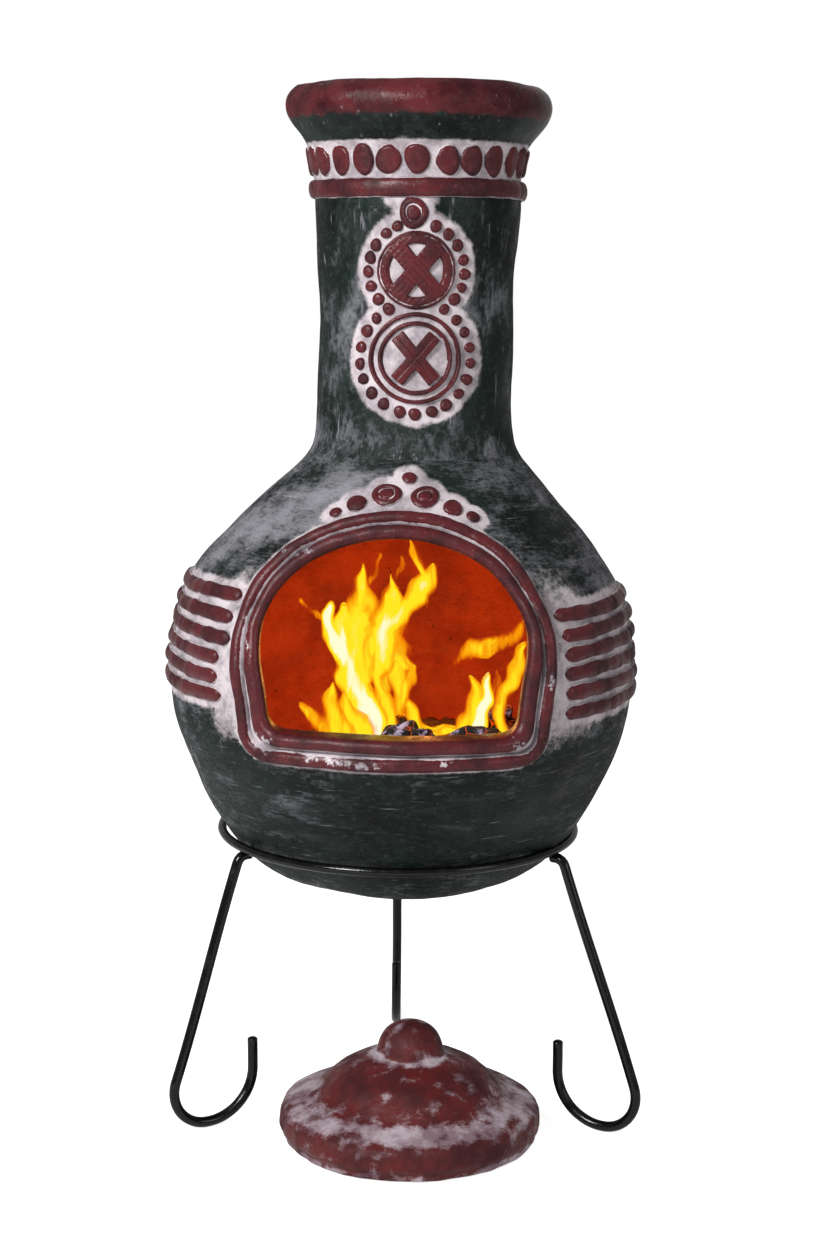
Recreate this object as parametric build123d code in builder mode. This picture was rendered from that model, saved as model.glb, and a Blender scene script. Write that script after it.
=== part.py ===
from build123d import *
from math import asin, cos, degrees, radians, sin
import os

# Chiminea: a clay wood stove, bowl, neck and rim luted together, sitting in a three-legged
# rod stand, with its loose clay lid on the ground between the front legs.
# Millimetres. Origin on the ground under the flue's axis, +Z up, mouth faces -Y.
os.makedirs("parts", exist_ok=True)

# Driving dimensions
BOWL_BASE_Z = 255.0
BOWL_BASE_R = 126.0
SEAM_Z = 735.0
RIM_TOP_Z = 1125.0
FLUE_R = 88.0
FLUE_BOTTOM_Z = 772.0
FLUE_TOP_Z = 1066.0
WALL = 18.0
HEARTH_R = 118.0
SAND_TOP_Z = 388.0
PAST_POT = 320.0
GROWN_STEPS = 16

# Raised clay work: how far each sort stands out of the wall
WHEEL_RELIEF = 5.0
ROLL_RELIEF = 9.0

# Mouth: the opening, then how much further out its frame of two rolls reaches
MOUTH_X = -8.0
MOUTH_HALF = 138.5
MOUTH_FOOT_HALF = 127.0
MOUTH_SILL_Z = 464.0
MOUTH_SPRING_Z = 548.0
MOUTH_CROWN_Z = 660.0
MOUTH_CORNER = 24.0
FRAME_SIDE = 29.0
FRAME_CROWN = 24.5
FRAME_SILL = 33.0
FRAME_SPRING = 22.0

# Trim on the neck
MOULDING_Z = 1017.0
MOULDING_R = 110.0
MOULDING_ROLL = 9.0
BUTTON_COUNT = 24
BUTTON_Z = 1046.0
BUTTON_HALF_WIDTH = 12.3
BUTTON_HALF_HEIGHT = 15.0
BUTTON_SINK = 5.0
BUTTON_RELIEF = 4.5
BUTTON_ROUND = 3.0
TOP_BUTTON_AZIMUTH = -2.0
TOP_BUTTON_Z = 991.0
TOP_BUTTON_R = 16.0
UPPER_WHEEL_Z = 932.0
UPPER_RIM_R = 40.5
UPPER_RIM_WIDTH = 8.0
UPPER_ARM = 30.5
UPPER_ARM_WIDTH = 19.0
UPPER_BEADS_R = 49.5
UPPER_BEAD_FIRST = 25.0
UPPER_BEAD_STEP = 17.0
LOWER_WHEEL_Z = 841.0
LOWER_RIM_R = 48.0
LOWER_RIM_WIDTH = 5.0
LOWER_HUB_R = 39.0
LOWER_HUB_WIDTH = 5.0
LOWER_ARM = 31.5
LOWER_ARM_WIDTH = 15.5
LOWER_BEADS_R = 58.3
LOWER_BEAD_FIRST = 45.7
LOWER_BEAD_STEP = 16.8
CROSS_TILT = 50.0
WHEEL_REACH = 150.0
BEAD_R = 6.2

# Trim on the bowl. A stud is its azimuth from the mouth (+ is +X), height and radius.
INNER_ROLL_SHARE = 0.45
OUTER_ROLL_SHARE = 0.53
CROWN_STUDS = [
    (-27, 682, 7.0),
    (-20.5, 692, 11.0),
    (-9.5, 701, 15.5),
    (-1, 717, 8.0),
    (6, 699, 15.5),
    (16.5, 688, 10.5),
    (23.5, 679, 7.5),
]
RIB_COUNT = 6
RIB_ROLL = 6.0
RIB_SINK = 1.0
RIB_BACK = 112.0
LEFT_RIB_FRONT = 48.0
LEFT_RIB_TOP_Z = 595.0
LEFT_RIB_STEP = 20.7
RIGHT_RIB_FRONT = 41.5
RIGHT_RIB_TOP_Z = 582.0
RIGHT_RIB_STEP = 20.3

# Logs: name, middle x and y, turn from +X, radius, length
LOG_SUNK = 5.0
LOG_CHAMFER = 4.0
LOGS = [
    ("log_left", -22.0, -28.0, 112.0, 33.0, 190.0),
    ("log_right", 88.0, -20.0, 80.0, 29.0, 170.0),
]

# Stand
ROD_R = 5.0
RING_R = 197.3
RING_Z = 313.0
FOOT_BEND = 39.0
HOOK_BEND = 54.0
HOOK_R = 195.0
HOOK_TIP_Z = 91.0
LEG_TOP_R = 203.0
FOOT_CORNER_R = 305.5
LEG_STUB_R = 190.5
LEG_TOP_BEND = 12.0
WELD_DEPTH = 0.5

# Lid, standing on the ground beside its chimney
LID_X = 9.0
LID_Y = -137.0
LID_R = 140.5
LID_FOOT_R = 137.5
LID_WALL = 14.0
LID_SHOULDER = (113.0, 44.5)
LID_ROOF_Z = 75.0
KNOB_FOOT_Z = 91.0
KNOB_FOOT_R = 30.5
KNOB_TOP_Z = 130.5


def frame_share(share):
    """Half width, foot half width, sill, spring and crown, at a step from the opening (0) to outside (1)."""
    return (
        MOUTH_HALF + FRAME_SIDE * share,
        MOUTH_FOOT_HALF + FRAME_SIDE * share,
        MOUTH_SILL_Z - FRAME_SILL * share,
        MOUTH_SPRING_Z - FRAME_SPRING * share,
        MOUTH_CROWN_Z + FRAME_CROWN * share,
    )


def mouth_outline(share):
    """Arched doorway seen from the front, at one step across its frame."""
    half, foot, sill, spring, crown = frame_share(share)
    with BuildSketch(Plane.XZ) as outline:
        with BuildLine():
            Line((MOUTH_X - foot, sill), (MOUTH_X + foot, sill))
            Line((MOUTH_X + foot, sill), (MOUTH_X + half, spring))
            EllipticalCenterArc((MOUTH_X, spring), half, crown - spring, start_angle=0, arc_size=180)
            Line((MOUTH_X - half, spring), (MOUTH_X - foot, sill))
        make_face()
        fillet(outline.vertices().group_by(Axis.Z)[0], radius=MOUTH_CORNER)
    return outline.sketch


# ---------------------------------------------------------------- clay shapes
# Half section of the whole pot's outside, in radius and height.
with BuildSketch(Plane.XZ) as pot_section:
    with BuildLine() as pot_outline:
        Line((0, BOWL_BASE_Z), (BOWL_BASE_R, BOWL_BASE_Z))
        bowl_side = Spline(
            (BOWL_BASE_R, BOWL_BASE_Z),
            (157, 277),
            (206, 335),
            (237, 396),
            (254, 458),
            (255.5, 512),
            (243, 578),
            (217, 624),
            (177, 670),
            (133, 715),
            (113, 741),
            (108, 766),
            tangents=[(1.0, 0.55), (0.0, 1.0)],
        )
        neck_side = Spline(
            bowl_side @ 1,
            (105.7, 850),
            (107, 935),
            (112, 1000),
            (117.5, 1060),
            tangents=[(0.0, 1.0), (0.3, 1.0)],
        )
        rim_side = Spline(
            neck_side @ 1,
            (127, 1074),
            (139, 1089),
            (143.6, 1102),
            (140, 1117),
            (131, RIM_TOP_Z),
            tangents=[(0.3, 1.0), (-1.0, 0.0)],
        )
        Line(rim_side @ 1, (0, RIM_TOP_Z))
        Line((0, RIM_TOP_Z), (0, BOWL_BASE_Z))
    make_face()

# Half section of the hollow: firebox, throat, straight flue and flared lip.
with BuildSketch(Plane.XZ) as hollow_section:
    with BuildLine():
        Line((0, BOWL_BASE_Z + WALL), (HEARTH_R, BOWL_BASE_Z + WALL))
        firebox_side = Spline(
            (HEARTH_R, BOWL_BASE_Z + WALL),
            (190, 343),
            (219, 402),
            (236, 460),
            (237.5, 512),
            (226, 572),
            (203, 613),
            (163, 658),
            (118, 702),
            (95, 737),
            (FLUE_R, FLUE_BOTTOM_Z),
            tangents=[(1.0, 0.6), (0.0, 1.0)],
        )
        Line(firebox_side @ 1, (FLUE_R, FLUE_TOP_Z))
        lip_side = Spline(
            (FLUE_R, FLUE_TOP_Z),
            (100, 1104),
            (114, RIM_TOP_Z),
            tangents=[(0.0, 1.0), (1.0, 0.35)],
        )
        Line(lip_side @ 1, (0, RIM_TOP_Z))
        Line((0, RIM_TOP_Z), (0, BOWL_BASE_Z + WALL))
    make_face()

with BuildPart() as pot_envelope:
    add(pot_section.sketch)
    revolve(axis=Axis.Z)

with BuildPart() as pot_hollow:
    add(hollow_section.sketch)
    revolve(axis=Axis.Z)


def grown_pot(depth):
    """The pot from base to collar, grown outwards by an even depth."""
    face = []
    for side in (bowl_side, neck_side):
        for step in range(GROWN_STEPS):
            along = side % (step / GROWN_STEPS)
            face.append(side @ (step / GROWN_STEPS) + Vector(along.Y, -along.X) * depth)
    with BuildPart() as fat_pot:
        with BuildSketch(Plane.XZ):
            with BuildLine():
                outside = Spline(*face)
                Polyline(outside @ 1, (0, (outside @ 1).Y), (0, (outside @ 0).Y), outside @ 0)
            make_face()
        revolve(axis=Axis.Z)
    return fat_pot.part


def on_pot(azimuth, height):
    """The plane that touches the pot at an azimuth from the mouth (+ is +X) and a height."""
    out = Vector(sin(radians(azimuth)), -cos(radians(azimuth)), 0)
    across = Vector(cos(radians(azimuth)), sin(radians(azimuth)), 0)
    level = Axis(Vector(0, 0, height), out)
    hits = pot_envelope.part.find_intersection_points(level)
    point, normal = max(hits, key=lambda hit: (hit[0] - level.position).dot(out))
    if normal.dot(out) < 0:
        normal = -normal
    return Plane(origin=point, x_dir=across, z_dir=normal)


def on_wheel(centre_z, radius, clock):
    """The same, on a circle round a wheel's centre, at a clock angle from its top (+ is +X)."""
    across = radius * sin(radians(clock))
    height = centre_z + radius * cos(radians(clock))
    wall = (on_pot(0, height).origin - Vector(0, 0, height)).length
    return on_pot(degrees(asin(across / wall)), height)


def finish(part, name):
    """Name one sub-part and write its file."""
    part.label = name
    export_step(part, f"parts/{name}.step")


# ------------------------------------------------------------------- the pot
with BuildPart() as bowl:
    add(pot_envelope.part)
    split(bisect_by=Plane.XY.offset(SEAM_Z), keep=Keep.BOTTOM)
    add(pot_hollow.part, mode=Mode.SUBTRACT)
    with BuildSketch(Plane.XZ):
        add(mouth_outline(0))
    extrude(amount=PAST_POT, mode=Mode.SUBTRACT)
finish(bowl.part, "bowl")

with BuildPart() as neck:
    add(pot_envelope.part)
    split(bisect_by=Plane.XY.offset(SEAM_Z), keep=Keep.TOP)
    split(bisect_by=Plane.XY.offset(FLUE_TOP_Z), keep=Keep.BOTTOM)
    add(pot_hollow.part, mode=Mode.SUBTRACT)
finish(neck.part, "neck")

# The rim is a thick coil of clay worked onto the top of the neck.
with BuildPart() as rim:
    add(pot_envelope.part)
    split(bisect_by=Plane.XY.offset(FLUE_TOP_Z), keep=Keep.TOP)
    add(pot_hollow.part, mode=Mode.SUBTRACT)
finish(rim.part, "rim")


# --------------------------------------------------- clay trim on the neck
with BuildPart() as neck_moulding:
    with BuildSketch(Plane.XZ):
        with Locations((MOULDING_R, MOULDING_Z)):
            Circle(MOULDING_ROLL)
    revolve(axis=Axis.Z)
    add(pot_envelope.part, mode=Mode.SUBTRACT)
finish(neck_moulding.part, "neck_moulding")

with BuildPart() as collar_button:
    with BuildSketch(on_pot(0, BUTTON_Z).offset(-BUTTON_SINK)):
        Ellipse(BUTTON_HALF_WIDTH, BUTTON_HALF_HEIGHT)
    extrude(amount=BUTTON_SINK + BUTTON_RELIEF)
    fillet(collar_button.edges().group_by(Axis.Y)[0], radius=BUTTON_ROUND)
    add(pot_envelope.part, mode=Mode.SUBTRACT)

with BuildPart() as collar_buttons:
    with PolarLocations(0, BUTTON_COUNT):
        add(collar_button.part)
finish(collar_buttons.part, "collar_buttons")


def disc_on_pot(seat, radius, relief):
    """A round-edged clay disc pressed onto the pot at its seat plane."""
    with BuildPart() as disc:
        with BuildSketch(seat.offset(-relief)):
            Circle(radius)
        raised = extrude(amount=2 * relief)
        fillet(raised.faces().sort_by(Axis(seat.origin, seat.z_dir))[-1].edges(), radius=relief * 0.6)
        add(pot_envelope.part, mode=Mode.SUBTRACT)
    return disc.part


top_seat = on_pot(TOP_BUTTON_AZIMUTH, TOP_BUTTON_Z)
finish(disc_on_pot(top_seat, TOP_BUTTON_R, WHEEL_RELIEF), "top_button")

wheel_face = grown_pot(WHEEL_RELIEF)


def wheel_ring(centre_z, outer, inner):
    """A flat clay ring laid round the front of the neck."""
    with BuildPart() as ring:
        with BuildSketch(Plane.XZ):
            with Locations((0, centre_z)):
                Circle(outer)
                Circle(inner, mode=Mode.SUBTRACT)
        extrude(amount=WHEEL_REACH)
        add(wheel_face, mode=Mode.INTERSECT)
        add(pot_envelope.part, mode=Mode.SUBTRACT)
    return ring.part


def wheel_cross(centre_z, arm, width):
    """Two crossed clay bars laid over the front of the neck."""
    with BuildPart() as cross:
        with BuildSketch(Plane.XZ):
            with Locations((0, centre_z)):
                Rectangle(2 * arm, width, rotation=CROSS_TILT)
                Rectangle(2 * arm, width, rotation=-CROSS_TILT)
        extrude(amount=WHEEL_REACH)
        add(wheel_face, mode=Mode.INTERSECT)
        add(pot_envelope.part, mode=Mode.SUBTRACT)
    return cross.part


def bead_string(centre_z, radius, clocks):
    """Round beads along part of a circle round a wheel, as one group of solids."""
    with BuildPart() as beads:
        for clock in clocks:
            seat = on_wheel(centre_z, radius, clock)
            add(disc_on_pot(seat, BEAD_R, WHEEL_RELIEF))
    return beads.part


finish(wheel_ring(UPPER_WHEEL_Z, UPPER_RIM_R, UPPER_RIM_R - UPPER_RIM_WIDTH), "upper_wheel_rim")
finish(wheel_cross(UPPER_WHEEL_Z, UPPER_ARM, UPPER_ARM_WIDTH), "upper_wheel_cross")
finish(wheel_ring(LOWER_WHEEL_Z, LOWER_RIM_R, LOWER_RIM_R - LOWER_RIM_WIDTH), "lower_wheel_rim")
finish(wheel_ring(LOWER_WHEEL_Z, LOWER_HUB_R, LOWER_HUB_R - LOWER_HUB_WIDTH), "lower_wheel_ring")
finish(wheel_cross(LOWER_WHEEL_Z, LOWER_ARM, LOWER_ARM_WIDTH), "lower_wheel_cross")

# The upper string stops short of the button above and the wheel below.
upper_clocks = [side * (UPPER_BEAD_FIRST + i * UPPER_BEAD_STEP) for side in (-1, 1) for i in range(8)]
lower_clocks = [LOWER_BEAD_FIRST + i * LOWER_BEAD_STEP for i in range(17)]
finish(bead_string(UPPER_WHEEL_Z, UPPER_BEADS_R, upper_clocks), "upper_beads")
finish(bead_string(LOWER_WHEEL_Z, LOWER_BEADS_R, lower_clocks), "lower_beads")


# --------------------------------------------------- clay trim on the bowl
roll_face = grown_pot(ROLL_RELIEF)


def mouth_roll(inner_share, outer_share):
    """One roll of clay round the mouth, between two steps across the frame."""
    with BuildPart() as roll:
        with BuildSketch(Plane.XZ):
            add(mouth_outline(outer_share))
            add(mouth_outline(inner_share), mode=Mode.SUBTRACT)
        extrude(amount=PAST_POT)
        add(roll_face, mode=Mode.INTERSECT)
        add(pot_envelope.part, mode=Mode.SUBTRACT)
    return roll.part


finish(mouth_roll(0, INNER_ROLL_SHARE), "mouth_roll_inner")
finish(mouth_roll(OUTER_ROLL_SHARE, 1), "mouth_roll_outer")

for number, (azimuth, height, radius) in enumerate(CROWN_STUDS, start=1):
    finish(disc_on_pot(on_pot(azimuth, height), radius, WHEEL_RELIEF), f"crown_stud_{number}")


def side_rib(height, start, stop):
    """A level roll of clay round the bowl, between two azimuths from the mouth (+ is +X)."""
    wall = (on_pot(0, height).origin - Vector(0, 0, height)).length
    with BuildPart() as rib:
        with BuildSketch(Plane.XZ.rotated((0, 0, start - 90))):
            with Locations((wall - RIB_SINK, height)):
                Circle(RIB_ROLL)
        revolve(axis=Axis.Z, revolution_arc=stop - start)
        add(pot_envelope.part, mode=Mode.SUBTRACT)
    return rib.part


for row in range(RIB_COUNT):
    left_z = LEFT_RIB_TOP_Z - row * LEFT_RIB_STEP
    right_z = RIGHT_RIB_TOP_Z - row * RIGHT_RIB_STEP
    finish(side_rib(left_z, -RIB_BACK, -LEFT_RIB_FRONT), f"rib_left_{row + 1}")
    finish(side_rib(right_z, RIGHT_RIB_FRONT, RIB_BACK), f"rib_right_{row + 1}")


# ---------------------------------------------------------------- in the fire
def log(middle, turn, radius, length):
    """A charred log lying in the sand, turned about the vertical from +X."""
    ends = Plane(origin=middle, x_dir=(0, 0, 1), z_dir=(cos(radians(turn)), sin(radians(turn)), 0))
    with BuildPart() as wood:
        with BuildSketch(ends.offset(-length / 2)):
            RegularPolygon(radius, 9)
        extrude(amount=length)
        chamfer(wood.faces().sort_by(Axis(middle, ends.z_dir))[-1].edges(), length=LOG_CHAMFER)
        chamfer(wood.faces().sort_by(Axis(middle, ends.z_dir))[0].edges(), length=LOG_CHAMFER)
    return wood.part


logs = {
    name: log((x, y, SAND_TOP_Z - LOG_SUNK + radius), turn, radius, length)
    for name, x, y, turn, radius, length in LOGS
}
for name, wood in logs.items():
    finish(wood, name)

with BuildPart() as sand_bed:
    add(pot_hollow.part)
    split(bisect_by=Plane.XY.offset(SAND_TOP_Z), keep=Keep.BOTTOM)
    for wood in logs.values():
        add(wood, mode=Mode.SUBTRACT)
finish(sand_bed.part, "sand_bed")


# ------------------------------------------------------------------ the stand
with BuildPart() as stand_ring:
    Torus(RING_R, ROD_R)
    stand_ring.part.position = (0, 0, RING_Z)
finish(stand_ring.part, "stand_ring")

STUB_Z = RING_Z - 2 * ROD_R + WELD_DEPTH
with BuildPart() as leg:
    with BuildLine(Plane.XZ) as leg_path:
        FilletPolyline(
            (LEG_STUB_R, STUB_Z),
            (LEG_TOP_R, STUB_Z),
            (FOOT_CORNER_R, ROD_R),
            (HOOK_R, ROD_R),
            (HOOK_R, HOOK_TIP_Z),
            radius=[LEG_TOP_BEND, FOOT_BEND, HOOK_BEND],
        )
    with BuildSketch(Plane(origin=leg_path.line @ 0, z_dir=leg_path.line % 0)):
        Circle(ROD_R)
    sweep()
    add(stand_ring.part, mode=Mode.SUBTRACT)

LEG_AZIMUTHS = {"leg_front_right": -30, "leg_rear": 90, "leg_front_left": 210}
for name, turn in LEG_AZIMUTHS.items():
    with BuildPart() as placed:
        add(leg.part.rotate(Axis.Z, turn))
    finish(placed.part, name)


# -------------------------------------------------------------------- the lid
def about_lid(part):
    """Move a piece made round the flue's axis to where the lid stands."""
    return part.translate((LID_X, LID_Y, 0))


with BuildPart() as lid_shape:
    with BuildSketch(Plane.XZ):
        with BuildLine():
            Line((LID_FOOT_R - LID_WALL, 0), (LID_FOOT_R, 0))
            skirt = Spline(
                (LID_FOOT_R, 0),
                (LID_R, 17),
                (134, 33),
                LID_SHOULDER,
                tangents=[(0.3, 1), (-1, 0.25)],
            )
            dome = Spline(
                skirt @ 1,
                (97, 53.5),
                (65, 75.5),
                (KNOB_FOOT_R + 1, KNOB_FOOT_Z),
                tangents=[(-1, 0.25), (-1, 0.35)],
            )
            Line(dome @ 1, (0, KNOB_FOOT_Z))
            Line((0, KNOB_FOOT_Z), (0, LID_ROOF_Z))
            under = Spline(
                (0, LID_ROOF_Z),
                (62, 59),
                (100, 34),
                (LID_FOOT_R - LID_WALL, 0),
                tangents=[(1, 0), (0.15, -1)],
            )
        make_face()
    revolve(axis=Axis.Z)
finish(about_lid(lid_shape.part), "lid")

with BuildPart() as knob_shape:
    with BuildSketch(Plane.XZ):
        with BuildLine():
            Line((0, KNOB_FOOT_Z), (KNOB_FOOT_R, KNOB_FOOT_Z))
            Spline(
                (KNOB_FOOT_R, KNOB_FOOT_Z),
                (34, 101),
                (27, 118),
                (0, KNOB_TOP_Z),
                tangents=[(0.6, 1), (-1, 0)],
            )
            Line((0, KNOB_TOP_Z), (0, KNOB_FOOT_Z))
        make_face()
    revolve(axis=Axis.Z)
finish(about_lid(knob_shape.part), "lid_knob")

print("bowl to ring gap", round(stand_ring.part.distance_to(bowl.part), 2))
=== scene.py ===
import math

import bmesh
import bpy
import numpy as np
from mathutils import Matrix, Vector
from mathutils.kdtree import KDTree


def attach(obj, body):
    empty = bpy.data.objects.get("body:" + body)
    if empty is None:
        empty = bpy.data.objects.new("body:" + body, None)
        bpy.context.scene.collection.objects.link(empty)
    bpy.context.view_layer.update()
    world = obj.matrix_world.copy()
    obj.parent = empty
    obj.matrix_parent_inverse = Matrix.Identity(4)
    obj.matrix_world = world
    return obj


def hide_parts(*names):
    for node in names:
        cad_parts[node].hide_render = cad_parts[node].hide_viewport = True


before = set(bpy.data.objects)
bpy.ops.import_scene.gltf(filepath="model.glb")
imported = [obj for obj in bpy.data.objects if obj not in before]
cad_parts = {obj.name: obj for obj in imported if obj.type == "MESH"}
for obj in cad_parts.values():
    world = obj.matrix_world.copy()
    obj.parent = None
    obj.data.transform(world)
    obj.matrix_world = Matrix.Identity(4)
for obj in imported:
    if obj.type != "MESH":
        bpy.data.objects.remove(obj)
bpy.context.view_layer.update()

# A clay chiminea in its rod stand, with its lid on the ground and a log fire in it.
# Shapes are worked out in millimetres in the row's frame and stored in metres.
MM = 0.001
rng = np.random.default_rng(11)

BOWL_FOOT_Z = 261.0
HEARTH_Z = 273.0
SEAM_Z = 735.0
RIM_FOOT_Z = 1066.0
RIM_TOP_Z = 1125.0
MOULDING_Z = 1017.0
BUTTON_Z = 1046.0
BUTTON_COUNT = 24
UPPER_WHEEL_Z, UPPER_WHEEL_R = 932.0, 40.9
LOWER_WHEEL_Z, LOWER_WHEEL_R = 841.0, 48.6
WHEEL_TILT = math.radians(50)
TOP_BUTTON = (-2.0, 991.0, 16.2)
ROD_R = 5.0
LEG_R = 5.7
RING_R = 198.5
RING_X = -7.0
RING_Z = 311.0


def srgb(red, green, blue):
    """A colour given in 0..255 display values, as linear RGBA."""
    def linear(value):
        value = value / 255
        return value / 12.92 if value <= 0.04045 else ((value + 0.055) / 1.055) ** 2.4
    return (linear(red), linear(green), linear(blue), 1.0)


def smooth(low, high, x):
    """0 below low, 1 above high, and an even ramp between."""
    t = np.clip((np.asarray(x, float) - low) / (high - low), 0, 1)
    return t * t * (3 - 2 * t)


def plateau(low, full, fading, gone, x):
    """0 below low, 1 from full to fading, and 0 again past gone."""
    return smooth(low, full, x) * (1 - smooth(fading, gone, x))


def circle(count):
    """Angles evenly all the way round."""
    return np.linspace(0, 2 * math.pi, count, endpoint=False)


# ------------ camera
CAMERA_Y = -2.405
CAMERA_Z = 0.9315
CAMERA_DOWN = math.radians(9.2)
CAMERA_ROLL = math.radians(-0.64)
CAMERA_LENS = 62.91
CAMERA_SHIFT = 0.0076


def add_camera():
    """The viewpoint: chest height, 2.4 m in front, tipped down and a touch rolled."""
    data = bpy.data.cameras.new("view")
    data.sensor_fit = "VERTICAL"
    data.sensor_height = 36.0
    data.lens = CAMERA_LENS
    data.shift_x = CAMERA_SHIFT
    right = Vector((1, 0, 0))
    up = Vector((0, math.sin(CAMERA_DOWN), math.cos(CAMERA_DOWN)))
    ahead = Vector((0, math.cos(CAMERA_DOWN), -math.sin(CAMERA_DOWN)))
    across = right * math.cos(CAMERA_ROLL) - up * math.sin(CAMERA_ROLL)
    upward = right * math.sin(CAMERA_ROLL) + up * math.cos(CAMERA_ROLL)
    turn = Matrix((across, upward, -ahead)).transposed().to_4x4()
    camera = bpy.data.objects.new("view", data)
    camera.matrix_world = Matrix.Translation((0, CAMERA_Y, CAMERA_Z)) @ turn
    bpy.context.scene.collection.objects.link(camera)
    bpy.context.scene.camera = camera


add_camera()


# ------------ curves and the skin
def curve_through(points, samples):
    """Points on one smooth curve through the given ones (a natural cubic by chord length)."""
    knots = np.array(points, float)
    t = np.r_[0, np.cumsum(np.linalg.norm(np.diff(knots, axis=0), axis=1))]
    n = len(t)
    h = np.diff(t)
    matrix = np.eye(n)
    rhs = np.zeros_like(knots)
    for i in range(1, n - 1):
        matrix[i, i - 1:i + 2] = h[i - 1], 2 * (h[i - 1] + h[i]), h[i]
        rhs[i] = 6 * ((knots[i + 1] - knots[i]) / h[i] - (knots[i] - knots[i - 1]) / h[i - 1])
    bend = np.linalg.solve(matrix, rhs)
    u = np.linspace(0, t[-1], samples)
    k = np.clip(np.searchsorted(t, u, side="right") - 1, 0, n - 2)
    a = ((t[k + 1] - u) / h[k])[:, None]
    b = ((u - t[k]) / h[k])[:, None]
    step = (h[k] ** 2 / 6)[:, None]
    return a * knots[k] + b * knots[k + 1] + ((a ** 3 - a) * bend[k] + (b ** 3 - b) * bend[k + 1]) * step


class Waves:
    """A fixed sum of plane waves: a cheap smooth random field, about -1..1."""

    def __init__(self, shortest, longest, count=14):
        lengths = np.exp(rng.uniform(math.log(shortest), math.log(longest), count))
        ways = rng.normal(size=(count, 3))
        ways /= np.linalg.norm(ways, axis=1)[:, None]
        self.ways = ways * (2 * math.pi / lengths)[:, None]
        self.phases = rng.uniform(0, 2 * math.pi, count)
        self.scale = 1.6 / math.sqrt(count)

    def __call__(self, points):
        return np.sin(points @ self.ways.T + self.phases).sum(axis=-1) * self.scale


hand_wobble = Waves(70, 240)
hand_dents = Waves(16, 45, 24)


def lean(z):
    """How far the hand-built clay sits to the right of its axis at a height: belly left, neck right."""
    return -5.5 + 12.0 * smooth(600, 770, z)


class Skin:
    """A turned surface given by radius and height points, from the bottom up."""

    def __init__(self, points, wobble=1.0):
        line = curve_through(points, 1200)
        self.r, self.z = line[:, 0], line[:, 1]
        steps = np.linalg.norm(np.diff(line, axis=0), axis=1)
        self.s = np.r_[0, np.cumsum(steps)]
        along = np.gradient(line, self.s, axis=0)
        along /= np.linalg.norm(along, axis=1)[:, None]
        self.nr, self.nz = along[:, 1], -along[:, 0]
        self.wobble = wobble

    def s_at(self, z):
        return np.interp(z, self.z, self.s)

    def r_at(self, z):
        return np.interp(z, self.z, self.r)

    def place(self, azimuth, s, lift=0.0):
        """Points at an azimuth from the mouth (radians, + is +X), a length up the wall and a lift off it."""
        azimuth, s, lift = np.broadcast_arrays(np.asarray(azimuth, float), s, lift)
        r = np.interp(s, self.s, self.r)
        z = np.interp(s, self.s, self.z)
        nr = np.interp(s, self.s, self.nr)
        nz = np.interp(s, self.s, self.nz)
        out = np.stack([np.sin(azimuth), -np.cos(azimuth), np.zeros_like(azimuth)], -1)
        base = out * r[..., None]
        base[..., 2] = z
        normal = out * nr[..., None]
        normal[..., 2] = nz
        rough = self.wobble * (0.9 * hand_wobble(base) + 0.10 * hand_dents(base))
        point = base + normal * (lift + rough)[..., None]
        point[..., 0] += lean(z)
        return point

    def from_front(self, x, z, lift=0.0):
        """The same for a place given by its x and height seen from the front."""
        azimuth = np.arcsin(np.clip(x / self.r_at(z), -1, 1))
        return self.place(azimuth, self.s_at(z), lift)


BOWL_SIDE = [(108, 261), (136, 266), (165, 284), (206, 335), (237, 396), (254, 458), (255.5, 512),
             (243, 578), (217, 624), (177, 670), (133, 715), (113, 741), (108, 766)]
NECK_SIDE = [(105.7, 850), (107, 935), (112, 1000), (117.5, 1060)]
RIM_SIDE = [(127, 1074), (139, 1089), (143.6, 1102), (140, 1117), (131, 1125)]
FIREBOX_SIDE = [(118, 273), (190, 343), (219, 402), (236, 460), (237.5, 512), (226, 572),
                (203, 613), (163, 658), (118, 702), (95, 737), (88, 772)]
FLUE_SIDE = [(88, 870), (88, 970), (88, 1066), (100, 1104), (114, 1125)]
pot = Skin(BOWL_SIDE + NECK_SIDE + RIM_SIDE)
hollow = Skin(FIREBOX_SIDE + FLUE_SIDE, wobble=0.6)


# ------------ mesh builders
def set_values(mesh, values):
    """Stores named values, one for each vertex, for the materials to read."""
    for key, value in values.items():
        layer = mesh.attributes.new(key, "FLOAT", "POINT")
        layer.data.foreach_set("value", np.asarray(value, np.float32))


def face_outward(thing):
    """Turns every face of a closed mesh to face outwards."""
    work = bmesh.new()
    work.from_mesh(thing.data)
    bmesh.ops.recalc_face_normals(work, faces=work.faces)
    work.to_mesh(thing.data)
    work.free()


def make_object(name, vertices, faces, material, body, replaces=(), attributes=None, sharp=None):
    """A mesh object in place, riding on its body and standing for its CAD nodes."""
    mesh = bpy.data.meshes.new(name)
    mesh.from_pydata((np.asarray(vertices) * MM).tolist(), [], faces)
    mesh.validate()
    set_values(mesh, attributes or {})
    mesh.shade_smooth()
    if sharp:
        mesh.set_sharp_from_angle(angle=math.radians(sharp))
    mesh.materials.append(material)
    thing = bpy.data.objects.new(name, mesh)
    bpy.context.scene.collection.objects.link(thing)
    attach(thing, body)
    if replaces:
        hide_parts(*replaces)
    face_outward(thing)
    return thing


def grid_faces(rows, columns, wrap_rows, wrap_columns, start=0):
    """Quads of a grid of points stored row by row."""
    faces = []
    for i in range(rows if wrap_rows else rows - 1):
        low = start + i * columns
        high = start + ((i + 1) % rows) * columns
        for j in range(columns if wrap_columns else columns - 1):
            k = (j + 1) % columns
            faces.append((low + j, low + k, high + k, high + j))
    return faces


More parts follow.
